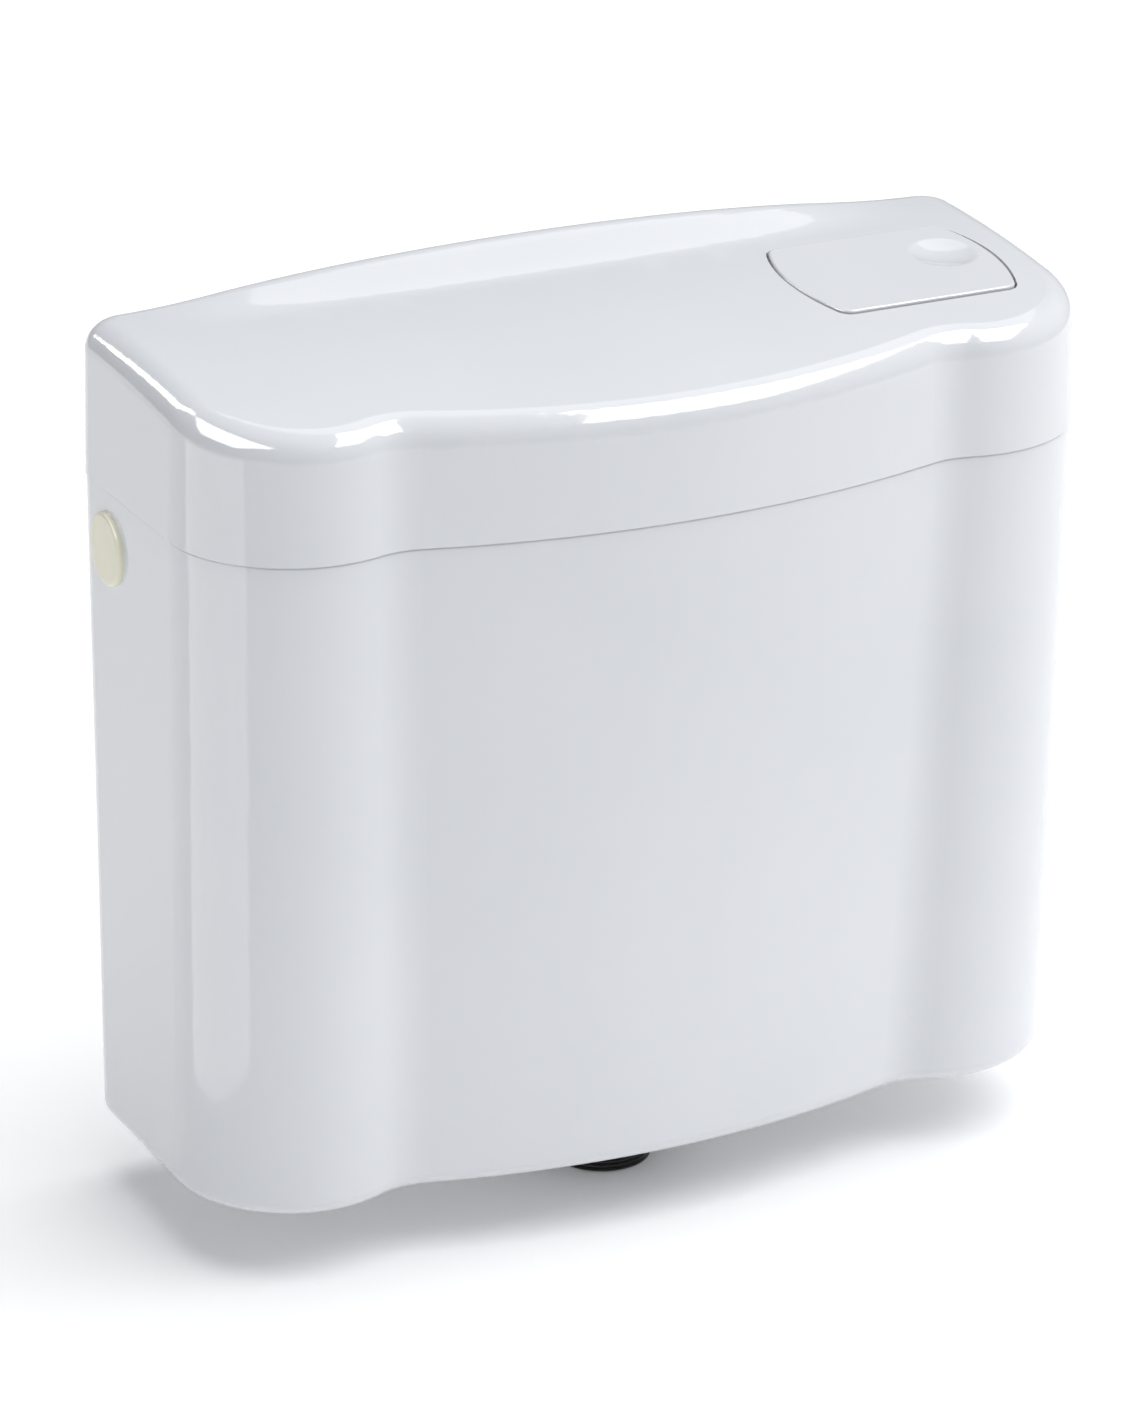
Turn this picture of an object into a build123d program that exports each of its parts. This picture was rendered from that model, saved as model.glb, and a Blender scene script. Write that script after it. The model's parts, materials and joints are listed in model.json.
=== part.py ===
from build123d import *
import math
import os

# Toilet cistern for a wall at low level. Millimetres, X to the right along the wall, Y into the
# wall, Z up. Origin on the wall face, midway between the two wall screws.

# Casing outline, seen from above
half_width = 230.2
bow_depth = 195.2
lobe_setback = 16.8
lobe_radius = 61.0
bow_radius = 450.6
hollow_radius = 35.1
rear_corner_radius = 21.5

# Tank
seam_height = 36.0
tank_height = 328.5
tank_wall = 3.5
tank_bow_lean = 20.4
tank_lobe_lean = 13.5
tank_foot_fillet = 8.0
tank_shoulder_fillet = 0.8
lid_overhang = 1.0
rim_height = 9.0
rim_wall = 2.2
rim_ledge = 7.0
rim_clearance = 0.5
screw_spacing = 300.0
screw_seat_diameter = 8.0
screw_slot_width = 5.2
screw_slot_length = 12.0
screw_head_hole = 14.0
shelf_drop = 14.0
shelf_width = 24.0
shelf_reach = 16.0
shelf_height = 18.0

# Lid
lid_wall = 2.8
lid_gap = 0.5
lid_back_gap = 0.3
lid_draft = 2.2
lid_edge_fillet = 14.5
deck_rear_height = 74.2
deck_crown_start = 20.0
deck_crown_radius = 820.0
arch_rise = 14.1
arch_half_span = 219.0
arch_crest_share = 0.75
ramp_foot = 49.5
ramp_length = 44.0
collar_depth = 16.5
collar_wall = 2.0

# Push plate, its hinge and its rod
plate_centre_x = 149.6
plate_setback = 98.1
plate_length = 107.8
plate_width = 79.7
plate_bow_radius = 95.5
plate_corner_radius = 7.0
plate_gap = 1.2
plate_proud = 0.4
plate_wall = 2.5
plate_skirt = 6.0
plate_edge_fillet = 1.2
dimple_offset_x = 32.0
dimple_offset_y = 7.5
dimple_diameter = 33.0
dimple_depth = 2.4
dimple_edge_fillet = 8.0
hinge_inset = 6.5
hinge_drop = 12.0
hinge_lug_radius = 4.0
hinge_lug_width = 4.0
hinge_plate_lug_spacing = 26.0
hinge_lid_lug_spacing = 40.0
hinge_pin_diameter = 4.0
hinge_pin_length = 46.0
rod_offset_x = 30.4
rod_offset_y = 0.8
rod_diameter = 6.0
rod_pitch = 1.0
rod_foot_diameter = 10.0
rod_tip_gap = 0.3
rod_boss_diameter = 12.0
rod_boss_depth = 17.0
rod_grip = 9.0
locknut_flats = 10.0
locknut_height = 5.0

# Lever, its bridge and its spring
lever_pivot_x = 110.0
lever_pivot_height = 24.0
lever_bar_height = 10.0
lever_bar_width = 8.0
lever_pad_height = 30.0
lever_pad_length = 26.0
lever_pad_width = 24.0
lever_pad_thickness = 3.0
lever_fork_length = 22.0
lever_fork_overhang = 6.0
lever_fork_wall = 3.0
lever_peg_diameter = 5.0
lever_pin_diameter = 5.0
lever_pin_overhang = 1.0
bridge_width = 14.0
bridge_thickness = 8.0
bridge_end_gap = 1.0
bridge_ear_thickness = 3.6
bridge_ear_radius = 6.5
bridge_arm_reach = 38.0
bridge_arm_width = 18.0
bridge_screw_diameter = 4.0
bridge_screw_length = 20.0
bridge_screw_head = 8.0
bridge_screw_head_height = 3.0
bridge_screw_slot = 1.0
spring_reach = 28.0
spring_wire = 1.2
spring_mean_diameter = 12.0
spring_turns = 6
spring_marks = 12
spring_seat_gap = 0.05
spring_post_diameter = 8.0
spring_post_height = 10.0

# Flush outlet and valve
outlet_setback = 93.5
outlet_boss_diameter = 78.0
outlet_boss_height = 5.5
outlet_hole_diameter = 50.0
outlet_thread_diameter = 47.8
outlet_thread_pitch = 2.309
outlet_bore_diameter = 38.0
outlet_socket_diameter = 40.8
outlet_socket_depth = 22.0
outlet_reach = 34.5
outlet_flange_diameter = 84.0
outlet_flange_thickness = 4.0
tank_seal_thickness = 3.0
outlet_washer_diameter = 68.0
outlet_washer_thickness = 3.0
backnut_height = 16.0
backnut_diameter = 56.0
backnut_rib_diameter = 60.0
backnut_rib_width = 7.0
backnut_ribs = 8
seat_diameter = 58.0
seat_height = 9.5
seat_lip_radius = 1.5
seal_disc_diameter = 62.0
seal_disc_thickness = 3.5
seal_gap = 0.1
retainer_flats = 31.0
retainer_height = 6.0
tube_diameter = 24.0
tube_wall = 1.8
tube_tail = 14.0
tube_flange_diameter = 46.0
tube_flange_thickness = 3.0
tube_collar_diameter = 27.0
tube_collar_height = 4.0
tube_collar_drop = 8.0
overflow_drop = 62.0
cage_height = 100.0
cage_wall = 3.5
cage_base_height = 8.0
cage_top_thickness = 3.0
cage_hub_height = 14.0
cage_hub_wall = 4.0
cage_window_width = 44.0
cage_window_margin = 6.0
cage_windows = 4
float_cup_diameter = 56.0
float_cup_height = 50.0
float_cup_wall = 2.0
float_cup_drop = 140.0
link_thickness = 5.0
link_eye_left = 8.0
link_eye_right = 7.0
link_eye_margin = 5.0
link_slot_clearance = 0.4
link_slot_reach = 4.0
link_strap_width = 8.0
link_stirrup_wall = 3.0
link_stirrup_clearance = 0.6
link_head_clearance = 12.0
link_ring_height = 5.0
link_clip_opening = 20.0

# Fill valve and float
inlet_setback = 42.4
inlet_drop = 28.0
inlet_hole_diameter = 18.0
inlet_thread_diameter = 16.66
inlet_thread_pitch = 1.337
inlet_bore_diameter = 10.0
inlet_reach = 24.8
inlet_lead_diameter = 14.6
inlet_lead_length = 3.0
inlet_flange_diameter = 28.0
inlet_flange_thickness = 4.0
inlet_washer_thickness = 2.5
inlet_nut_flats = 24.0
inlet_nut_height = 9.0
filter_diameter = 9.4
filter_length = 20.0
filter_wall = 1.0
filter_flange_diameter = 13.0
filter_flange_thickness = 1.5
valve_barrel_diameter = 24.0
valve_barrel_length = 41.0
valve_chamber_diameter = 19.0
valve_chamber_depth = 23.0
valve_chamber_wall = 3.0
valve_nozzle_diameter = 9.0
valve_nozzle_bore = 5.0
diaphragm_thickness = 2.0
head_disc_thickness = 6.5
head_neck_diameter = 19.0
head_neck_length = 12.0
head_ear_thickness = 3.0
head_ear_root = 7.0
head_ear_reach = 23.0
head_ear_rise = 5.0
head_stop_width = 2.0
head_stop_height = 2.2
head_stop_drop = 5.4
cap_nut_diameter = 32.0
cap_nut_end = 3.0
cap_nut_skirt = 15.0
cap_nut_ribs = 12
cap_nut_rib_diameter = 2.4
plunger_diameter = 6.0
plunger_head_diameter = 14.0
plunger_head_thickness = 1.5
plunger_reach = 20.0
plunger_travel = 2.0
plunger_room = 0.3
arm_pivot_drop = 9.0
arm_pivot_inset = 5.0
arm_hang_angle = 16.0
arm_pin_diameter = 4.0
arm_thickness = 8.0
arm_bar_height = 7.0
arm_reach = 84.0
arm_hub_radius = 5.0
arm_cam_height = 14.0
arm_cam_thickness = 6.0
arm_boss_diameter = 16.0
level_screw_diameter = 4.0
level_screw_pitch = 0.7
level_screw_length = 14.0
level_screw_head_diameter = 7.0
level_screw_head_height = 2.5
level_screw_gap = 0.3
fill_float_diameter = 56.0
fill_float_height = 44.0
fill_float_wall = 1.6
fill_float_fillet = 3.0
fill_float_neck_diameter = 10.0
spigot_diameter = 14.0
spigot_bore = 9.0
spigot_length = 22.0
spigot_inset = 24.0
fill_tube_wall = 1.5
fill_tube_overlap = 10.0
fill_tube_foot = 34.0

# Blanking plug
plug_head_diameter = 35.4
plug_head_thickness = 2.8
plug_head_fillet = 2.0
plug_shank_length = 20.0
plug_nut_flats = 24.0
plug_nut_height = 8.0

# Fits
part_clearance = 0.05
running_clearance = 0.4
thread_depth_share = 0.62
thread_crest_share = 0.25
cut_overrun = 10.0
surface_columns = 40
surface_rows = 50

os.makedirs("parts", exist_ok=True)


def finish(part, name):
    """Names a finished piece and writes it."""
    part.label = name
    export_step(part, f"parts/{name}.step")


# Casing outline: flat back, rounded rear corners, straight sides, a lobe at each front corner,
# and a bowed front that runs into each lobe through a hollow.
def circle_crossing(centre_a, radius_a, centre_b, radius_b):
    """The crossing of two circles that lies nearer the front."""
    span = centre_b - centre_a
    along = (radius_a**2 - radius_b**2 + span.length**2) / (2 * span.length)
    across = math.sqrt(radius_a**2 - along**2)
    unit = span.normalized()
    foot = centre_a + unit * along
    sideways = Vector(-unit.Y, unit.X) * across
    return min(foot + sideways, foot - sideways, key=lambda point: point.Y)


def arc_point(centre, radius, angle):
    """Point on a circle, the angle in degrees from +X."""
    turn = math.radians(angle)
    return centre + Vector(math.cos(turn), math.sin(turn)) * radius


def arc_points(centre, radius, start, end):
    """Start, middle and end of an arc, the angles in degrees from +X."""
    return [arc_point(centre, radius, angle) for angle in (start, (start + end) / 2, end)]


def outline_face(inset, lean_share, back_shift):
    """Outline as a flat face, drawn in by inset all round, its back moved by back_shift.

    The lean share is 0 at the seam and 1 at the foot of the tank.
    """
    corner = Vector(half_width - rear_corner_radius, back_shift - rear_corner_radius)
    lobe_y = lobe_radius + lobe_setback - bow_depth + tank_lobe_lean * lean_share
    lobe = Vector(half_width - lobe_radius, lobe_y)
    bow = Vector(0, bow_radius - bow_depth + tank_bow_lean * lean_share)
    hollow = circle_crossing(lobe, lobe_radius + hollow_radius, bow, bow_radius + hollow_radius)
    lobe_end = math.degrees(math.atan2(hollow.Y - lobe.Y, hollow.X - lobe.X))
    bow_end = math.degrees(math.atan2(hollow.Y - bow.Y, hollow.X - bow.X))
    corner_arc = arc_points(corner, rear_corner_radius - inset, 90, 0)
    lobe_arc = arc_points(lobe, lobe_radius - inset, 0, lobe_end)
    hollow_arc = arc_points(hollow, hollow_radius + inset, lobe_end + 180, bow_end + 180)
    bow_arc = arc_points(bow, bow_radius - inset, bow_end, -180 - bow_end)
    with BuildSketch() as outline:
        with BuildLine():
            for side in (1, -1):
                for arc in (corner_arc, lobe_arc, hollow_arc):
                    ThreePointArc([(point.X * side, point.Y) for point in arc])
                Line([(point.X * side, point.Y) for point in (corner_arc[2], lobe_arc[0])])
            ThreePointArc(bow_arc)
            Line((-corner_arc[0].X, corner_arc[0].Y), corner_arc[0])
        make_face()
    return outline.sketch


def bow_front_y(x, inset, lean_share):
    """Y of the bowed front at x, drawn in by inset."""
    bow_y = bow_radius - bow_depth + tank_bow_lean * lean_share
    return bow_y - math.sqrt((bow_radius - inset) ** 2 - x**2)


# Turned and threaded forms, each made along its plane's normal from the plane's origin
def washer(plane, outer_diameter, bore_diameter, thickness):
    """Flat ring."""
    with BuildPart() as ring:
        with BuildSketch(plane):
            Circle(outer_diameter / 2)
            Circle(bore_diameter / 2, mode=Mode.SUBTRACT)
        extrude(amount=thickness)
    return ring.part


def hexagon_nut(plane, flats, bore_diameter, height):
    """Six-sided nut."""
    with BuildPart() as nut:
        with BuildSketch(plane):
            RegularPolygon(flats / 2, 6, major_radius=False)
            Circle(bore_diameter / 2, mode=Mode.SUBTRACT)
        extrude(amount=height)
    return nut.part


def threaded_shaft(plane, diameter, pitch, length, bore_diameter):
    """Shaft with a ridge at every pitch, and a bore where its diameter isn't zero."""
    turns = max(round(length / pitch), 1)
    step = length / turns
    crest = diameter / 2
    root = crest - thread_depth_share * pitch
    flank = (1 - thread_crest_share) / 2
    points = [(bore_diameter / 2, length), (bore_diameter / 2, 0)]
    for turn in range(turns):
        points.append((root, turn * step))
        points.append((crest, (turn + flank) * step))
        points.append((crest, (turn + 1 - flank) * step))
    points.append((root, length))
    side = Plane(origin=plane.origin, x_dir=plane.x_dir, z_dir=-plane.y_dir)
    with BuildPart() as shaft:
        with BuildSketch(side):
            with BuildLine():
                Polyline(points, close=True)
            make_face()
        revolve(axis=Axis(plane.origin, plane.z_dir))
    return shaft.part


# Levels
seam_z = seam_height
tank_base_z = seam_z - tank_height
tank_floor_z = tank_base_z + tank_wall
outer_inset = lid_overhang
inner_inset = lid_overhang + tank_wall
rim_outer_inset = lid_wall + rim_clearance
mouth_inset = rim_outer_inset + rim_wall
shelf_top_z = seam_z - shelf_drop
outer_wall_x = half_width - outer_inset
inner_wall_x = half_width - inner_inset
inlet_z = seam_z - inlet_drop
boss_base_z = tank_base_z - outlet_boss_height


def lean_at(z):
    """Lean share at a height of the tank."""
    return (seam_z - z) / tank_height


front_mouth_y = bow_front_y(lever_pivot_x + bridge_width / 2, mouth_inset, 0)
front_shelf_y = bow_front_y(lever_pivot_x, inner_inset, lean_at(shelf_top_z))
screw_front_y = front_shelf_y + shelf_reach / 2
screw_rear_y = -tank_wall - shelf_reach / 2

# Tank body: one moulded shell with a rim that the lid fits over, two shelves for the bridge, an
# inlet hole in each side, two wall slots and the outlet hole in a boss under the floor
with BuildPart() as cavity:
    with BuildSketch(Plane.XY.offset(tank_floor_z)):
        add(outline_face(inner_inset, lean_at(tank_floor_z), lid_overhang))
    with BuildSketch(Plane.XY.offset(seam_z - rim_ledge)):
        add(outline_face(inner_inset, lean_at(seam_z - rim_ledge), lid_overhang))
    loft(ruled=True)
    with BuildSketch(Plane.XY.offset(shelf_top_z)):
        with Locations((lever_pivot_x, -tank_wall), (lever_pivot_x, front_shelf_y)):
            Rectangle(shelf_width, 2 * shelf_reach)
    extrude(amount=-shelf_height, mode=Mode.SUBTRACT)

with BuildPart() as tank_body:
    with BuildSketch(Plane.XY.offset(tank_base_z)):
        add(outline_face(outer_inset, 1, lid_overhang))
    with BuildSketch(Plane.XY.offset(seam_z)):
        add(outline_face(outer_inset, 0, lid_overhang))
    loft(ruled=True)
    fillet(tank_body.faces().sort_by(Axis.Z)[0].edges(), tank_foot_fillet)
    fillet(tank_body.faces().sort_by(Axis.Z)[-1].edges(), tank_shoulder_fillet)
    with BuildSketch(Plane.XY.offset(seam_z)):
        add(outline_face(rim_outer_inset, 0, -lid_back_gap))
    extrude(amount=rim_height)
    with BuildSketch(Plane.XY.offset(tank_floor_z)):
        with Locations((0, -outlet_setback)):
            Circle(outlet_boss_diameter / 2)
    extrude(amount=boss_base_z - tank_floor_z)
    add(cavity.part, mode=Mode.SUBTRACT)
    with BuildSketch(Plane.XY.offset(seam_z - rim_ledge)):
        add(outline_face(mouth_inset, 0, -lid_back_gap))
    extrude(amount=rim_ledge + rim_height + cut_overrun, mode=Mode.SUBTRACT)
    with BuildSketch(Plane.XY.offset(tank_floor_z)):
        with Locations((0, -outlet_setback)):
            Circle(outlet_hole_diameter / 2)
    extrude(amount=boss_base_z - tank_floor_z - cut_overrun, mode=Mode.SUBTRACT)
    with BuildSketch(Plane.YZ.offset(inner_wall_x - cut_overrun)):
        with Locations((-inlet_setback, inlet_z)):
            Circle(inlet_hole_diameter / 2)
    extrude(amount=tank_wall + 2 * cut_overrun, mode=Mode.SUBTRACT)
    with BuildSketch(Plane.YZ.offset(cut_overrun - inner_wall_x)):
        with Locations((-inlet_setback, inlet_z)):
            Circle(inlet_hole_diameter / 2)
    extrude(amount=-tank_wall - 2 * cut_overrun, mode=Mode.SUBTRACT)
    with BuildSketch(Plane.XZ):
        for side in (1, -1):
            with Locations((side * screw_spacing / 2, 0)):
                Circle(screw_seat_diameter / 2)
            with Locations((side * screw_spacing / 2, -screw_slot_length / 2)):
                Rectangle(screw_slot_width, screw_slot_length)
            with Locations((side * screw_spacing / 2, -screw_slot_length)):
                Circle(screw_head_hole / 2)
    extrude(amount=tank_wall + cut_overrun, both=True, mode=Mode.SUBTRACT)
    with BuildSketch(Plane.XY.offset(shelf_top_z)):
        with Locations((lever_pivot_x, screw_rear_y), (lever_pivot_x, screw_front_y)):
            Circle(bridge_screw_diameter / 2 + part_clearance)
    extrude(amount=bridge_thickness - bridge_screw_length - part_clearance, mode=Mode.SUBTRACT)
finish(tank_body.part, "tank_body")


# Lid top: a deck that is level at the rear and crowned towards the front, with a low arch along
# the rear that a long ramp joins to the deck. The push plate lies on the crown's slope.
plate_tilt = math.atan((plate_setback - deck_crown_start) / deck_crown_radius)
plate_normal = (0, -math.sin(plate_tilt), math.cos(plate_tilt))
hinge_normal = (0, -plate_normal[2], plate_normal[1])


def arch_share(x):
    """Height of the rear arch at x, as a share of its rise."""
    reach = min(abs(x) / arch_half_span, 1)
    if reach < arch_crest_share:
        return 1 - reach**2 / arch_crest_share
    return (1 - reach) ** 2 / (1 - arch_crest_share)


def ramp_share(y):
    """How far up the ramp a point at y lies, from 0 at its foot to 1 at its top."""
    reach = min(max((y + ramp_foot) / ramp_length, 0), 1)
    return reach**3 * (10 - 15 * reach + 6 * reach**2)


def deck_height(x, y):
    """Height of the lid's top above the seam."""
    crown_drop = max(-y - deck_crown_start, 0) ** 2 / (2 * deck_crown_radius)
    return deck_rear_height - crown_drop + arch_rise * arch_share(x) * ramp_share(y)


def lid_block(inset, base_z):
    """The lid's outer form, drawn in by inset on every side and at the top."""
    reach_x = half_width + cut_overrun
    rows = []
    for row in range(surface_rows + 1):
        y = cut_overrun - (bow_depth + 2 * cut_overrun) * row / surface_rows
        columns = []
        for column in range(surface_columns + 1):
            x = reach_x * (2 * column / surface_columns - 1)
            columns.append((x, y, seam_z + deck_height(x, y) - inset))
        rows.append(columns)
    top_face = Face.make_surface_from_array_of_points(rows)
    below_top = Solid.extrude(top_face, Vector(0, 0, -2 * deck_rear_height))
    with BuildPart() as block:
        with BuildSketch(Plane.XY.offset(base_z)):
            add(outline_face(inset, 0, -lid_back_gap))
        with BuildSketch(Plane.XY.offset(seam_z + deck_rear_height + arch_rise + cut_overrun)):
            add(outline_face(inset + lid_draft, 0, -lid_back_gap))
        loft(ruled=True)
        add(below_top, mode=Mode.INTERSECT)
        fillet(block.faces().sort_by(Axis.Z)[-1].edges(), lid_edge_fillet - inset)
    return block.part


# Push-plate frame: origin on the deck at the middle of the plate, normal square to the deck
plate_plane = Plane(
    origin=(plate_centre_x, -plate_setback, seam_z + deck_height(plate_centre_x, -plate_setback)),
    x_dir=(1, 0, 0),
    z_dir=plate_normal,
)
plate_axis = Axis(plate_plane.origin, plate_plane.z_dir)
hinge_x = hinge_inset - plate_length / 2
hinge_point = plate_plane.from_local_coords(Vector(hinge_x, 0, -hinge_drop))
hinge_plane = Plane(origin=hinge_point, x_dir=(1, 0, 0), z_dir=hinge_normal)


def barrel_face(grow):
    """Outline of the push plate, grown all round: straight long sides and bowed ends."""
    with BuildSketch() as barrel:
        Rectangle(plate_length + 2 * grow, plate_width + 2 * grow)
        for side in (1, -1):
            with Locations((side * (plate_length / 2 - plate_bow_radius), 0)):
                Circle(plate_bow_radius + grow, mode=Mode.INTERSECT)
        fillet(barrel.vertices(), plate_corner_radius + grow)
    return barrel.sketch


# Lid: shell with the push-plate opening, a collar under it and two lugs for the hinge pin
lid_base_z = seam_z + lid_gap
with BuildPart() as lid:
    add(lid_block(0, lid_base_z))
    add(lid_block(lid_wall, lid_base_z - cut_overrun), mode=Mode.SUBTRACT)
    with BuildSketch(plate_plane.offset(-lid_wall / 2)):
        add(barrel_face(plate_gap + collar_wall))
    extrude(amount=lid_wall / 2 - collar_depth)
    with BuildSketch(plate_plane.offset(cut_overrun)):
        add(barrel_face(plate_gap))
    extrude(amount=-cut_overrun - collar_depth, mode=Mode.SUBTRACT)
    for side in (1, -1):
        with BuildSketch(hinge_plane.offset(side * hinge_lid_lug_spacing / 2)):
            Circle(hinge_lug_radius)
            with Locations((-hinge_inset / 2, 0)):
                Rectangle(hinge_inset, 2 * hinge_lug_radius)
            Circle(hinge_pin_diameter / 2 + part_clearance, mode=Mode.SUBTRACT)
        extrude(amount=hinge_lug_width / 2, both=True)
finish(lid.part, "lid")

# Push plate: a shallow tray, open below, with a finger recess over its rod boss and two hinge lugs
dimple_radius = dimple_diameter / 2
dimple_sphere = (dimple_radius**2 + dimple_depth**2) / (2 * dimple_depth)
rod_boss_base = -rod_boss_depth
lug_rise = hinge_drop - plate_wall / 2
with BuildPart() as push_plate:
    with BuildSketch(plate_plane.offset(plate_proud)):
        add(barrel_face(0))
    extrude(amount=-plate_proud - plate_skirt)
    fillet(push_plate.faces().sort_by(plate_axis)[-1].edges(), plate_edge_fillet)
    with BuildSketch(plate_plane.offset(plate_proud - plate_wall)):
        add(barrel_face(-plate_wall))
    extrude(amount=-plate_skirt, mode=Mode.SUBTRACT)
    with BuildSketch(plate_plane.offset(plate_proud - plate_wall / 2)):
        with Locations((dimple_offset_x, dimple_offset_y)):
            Circle(dimple_radius + plate_wall)
    extrude(amount=-plate_wall / 2 - dimple_depth)
    with Locations(plate_plane.offset(plate_proud - dimple_depth + dimple_sphere).location):
        with Locations((dimple_offset_x, dimple_offset_y)):
            Sphere(dimple_sphere, mode=Mode.SUBTRACT)
    recessed_top = push_plate.faces().sort_by(plate_axis)[-1]
    fillet(recessed_top.inner_wires()[0].edges(), dimple_edge_fillet)
    with BuildSketch(plate_plane.offset(plate_proud - plate_wall - dimple_depth / 2)):
        with Locations((rod_offset_x, rod_offset_y)):
            Circle(rod_boss_diameter / 2)
    extrude(amount=rod_boss_base - plate_proud + plate_wall + dimple_depth / 2)
    with BuildSketch(plate_plane.offset(rod_boss_base)):
        with Locations((rod_offset_x, rod_offset_y)):
            Circle(rod_diameter / 2 + part_clearance)
    extrude(amount=rod_grip + part_clearance, mode=Mode.SUBTRACT)
    for side in (1, -1):
        with BuildSketch(hinge_plane.offset(side * hinge_plate_lug_spacing / 2)):
            Circle(hinge_lug_radius)
            with Locations((0, lug_rise / 2)):
                Rectangle(2 * hinge_lug_radius, lug_rise)
            Circle(hinge_pin_diameter / 2 + part_clearance, mode=Mode.SUBTRACT)
        extrude(amount=hinge_lug_width / 2, both=True)
finish(push_plate.part, "push_plate")

with BuildPart() as plate_hinge_pin:
    with BuildSketch(hinge_plane):
        Circle(hinge_pin_diameter / 2)
    extrude(amount=hinge_pin_length / 2, both=True)
finish(plate_hinge_pin.part, "plate_hinge_pin")

# Push rod: threaded rod with a round foot that presses on the lever's pad
pad_top_z = seam_z + lever_pad_height
rod_plane = plate_plane.offset(rod_boss_base + rod_grip)
rod_top = rod_plane.from_local_coords(Vector(rod_offset_x, rod_offset_y, 0))
rod_axis_plane = Plane(origin=rod_top, x_dir=(1, 0, 0), z_dir=-Vector(plate_normal))
foot_radius = rod_foot_diameter / 2
foot_centre_z = pad_top_z + rod_tip_gap + foot_radius
rod_length = (rod_top.Z - foot_centre_z) / plate_normal[2]
with BuildPart() as push_rod:
    add(threaded_shaft(rod_axis_plane, rod_diameter, rod_pitch, rod_length, 0))
    with Locations(rod_axis_plane.offset(rod_length).location):
        Sphere(foot_radius)
finish(push_rod.part, "push_rod")

with BuildPart() as rod_locknut:
    locknut_plane = rod_axis_plane.offset(rod_grip)
    add(hexagon_nut(locknut_plane, locknut_flats, rod_diameter + 2 * part_clearance, locknut_height))
finish(rod_locknut.part, "rod_locknut")

# Flush lever: bar with a pad under the rod's foot and a fork with a peg over the flush valve
lever_y = -outlet_setback
lever_z = seam_z + lever_pivot_height
rod_foot_x = plate_centre_x + rod_offset_x
bar_end_x = rod_foot_x + lever_pad_length / 2
fork_half = link_thickness / 2 + running_clearance + lever_fork_wall
fork_gap = link_thickness + 2 * running_clearance
lever_plane = Plane(origin=(0, lever_y, lever_z), x_dir=(1, 0, 0), z_dir=(0, -1, 0))
fork_root_x = link_eye_right + running_clearance
with BuildPart() as flush_lever:
    with BuildSketch(lever_plane):
        with Locations((fork_root_x, 0)):
            bar_length = bar_end_x - fork_root_x
            Rectangle(bar_length, lever_bar_height, align=(Align.MIN, Align.CENTER))
    extrude(amount=lever_bar_width / 2, both=True)
    with BuildSketch(lever_plane):
        with Locations((-lever_fork_overhang, 0)):
            Rectangle(lever_fork_length, lever_bar_height, align=(Align.MIN, Align.CENTER))
    extrude(amount=fork_half, both=True)
    with BuildSketch(lever_plane):
        with Locations((-lever_fork_overhang, 0)):
            fork_slot = lever_fork_overhang + fork_root_x + running_clearance
            Rectangle(fork_slot, lever_bar_height, align=(Align.MIN, Align.CENTER))
    extrude(amount=fork_gap / 2, both=True, mode=Mode.SUBTRACT)
    with BuildSketch(lever_plane):
        Circle(lever_peg_diameter / 2)
    extrude(amount=fork_half, both=True)
    with BuildSketch(Plane.XY.offset(pad_top_z)):
        with Locations((rod_foot_x, lever_y)):
            Rectangle(lever_pad_length, lever_pad_width)
    extrude(amount=-lever_pad_thickness)
    with BuildSketch(lever_plane):
        with Locations((lever_pivot_x, 0)):
            Circle(lever_pin_diameter / 2 + part_clearance)
    extrude(amount=lever_bar_width, both=True, mode=Mode.SUBTRACT)
finish(flush_lever.part, "flush_lever")

# Lever bridge: bar from shelf to shelf with two ears for the lever pin and an arm for the spring
bridge_top_z = shelf_top_z + bridge_thickness
ear_offset = lever_bar_width / 2 + running_clearance + bridge_ear_thickness / 2
ear_height = lever_z - bridge_top_z
spring_x = lever_pivot_x + spring_reach
with BuildPart() as lever_bridge:
    bridge_rear_y = -mouth_inset - lid_back_gap - bridge_end_gap
    bridge_front_y = front_mouth_y + bridge_end_gap
    with BuildSketch(Plane.XY.offset(shelf_top_z)):
        with Locations((lever_pivot_x, (bridge_rear_y + bridge_front_y) / 2)):
            Rectangle(bridge_width, bridge_rear_y - bridge_front_y)
        with Locations((lever_pivot_x, lever_y)):
            Rectangle(bridge_arm_reach, bridge_arm_width, align=(Align.MIN, Align.CENTER))
        with Locations((lever_pivot_x, screw_rear_y), (lever_pivot_x, screw_front_y)):
            Circle(bridge_screw_diameter / 2 + part_clearance, mode=Mode.SUBTRACT)
    extrude(amount=bridge_thickness)
    for side in (1, -1):
        with BuildSketch(lever_plane.offset(side * ear_offset)):
            with Locations((lever_pivot_x, 0)):
                Circle(bridge_ear_radius)
            with Locations((lever_pivot_x, -ear_height / 2)):
                Rectangle(2 * bridge_ear_radius, ear_height)
            with Locations((lever_pivot_x, 0)):
                Circle(lever_pin_diameter / 2 + part_clearance, mode=Mode.SUBTRACT)
        extrude(amount=bridge_ear_thickness / 2, both=True)
    with BuildSketch(Plane.XY.offset(bridge_top_z)):
        with Locations((spring_x, lever_y)):
            Circle(spring_post_diameter / 2)
    extrude(amount=spring_post_height)
finish(lever_bridge.part, "lever_bridge")

with BuildPart() as lever_pin:
    with BuildSketch(lever_plane):
        with Locations((lever_pivot_x, 0)):
            Circle(lever_pin_diameter / 2)
    extrude(amount=ear_offset + bridge_ear_thickness / 2 + lever_pin_overhang, both=True)
finish(lever_pin.part, "lever_pin")

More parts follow.
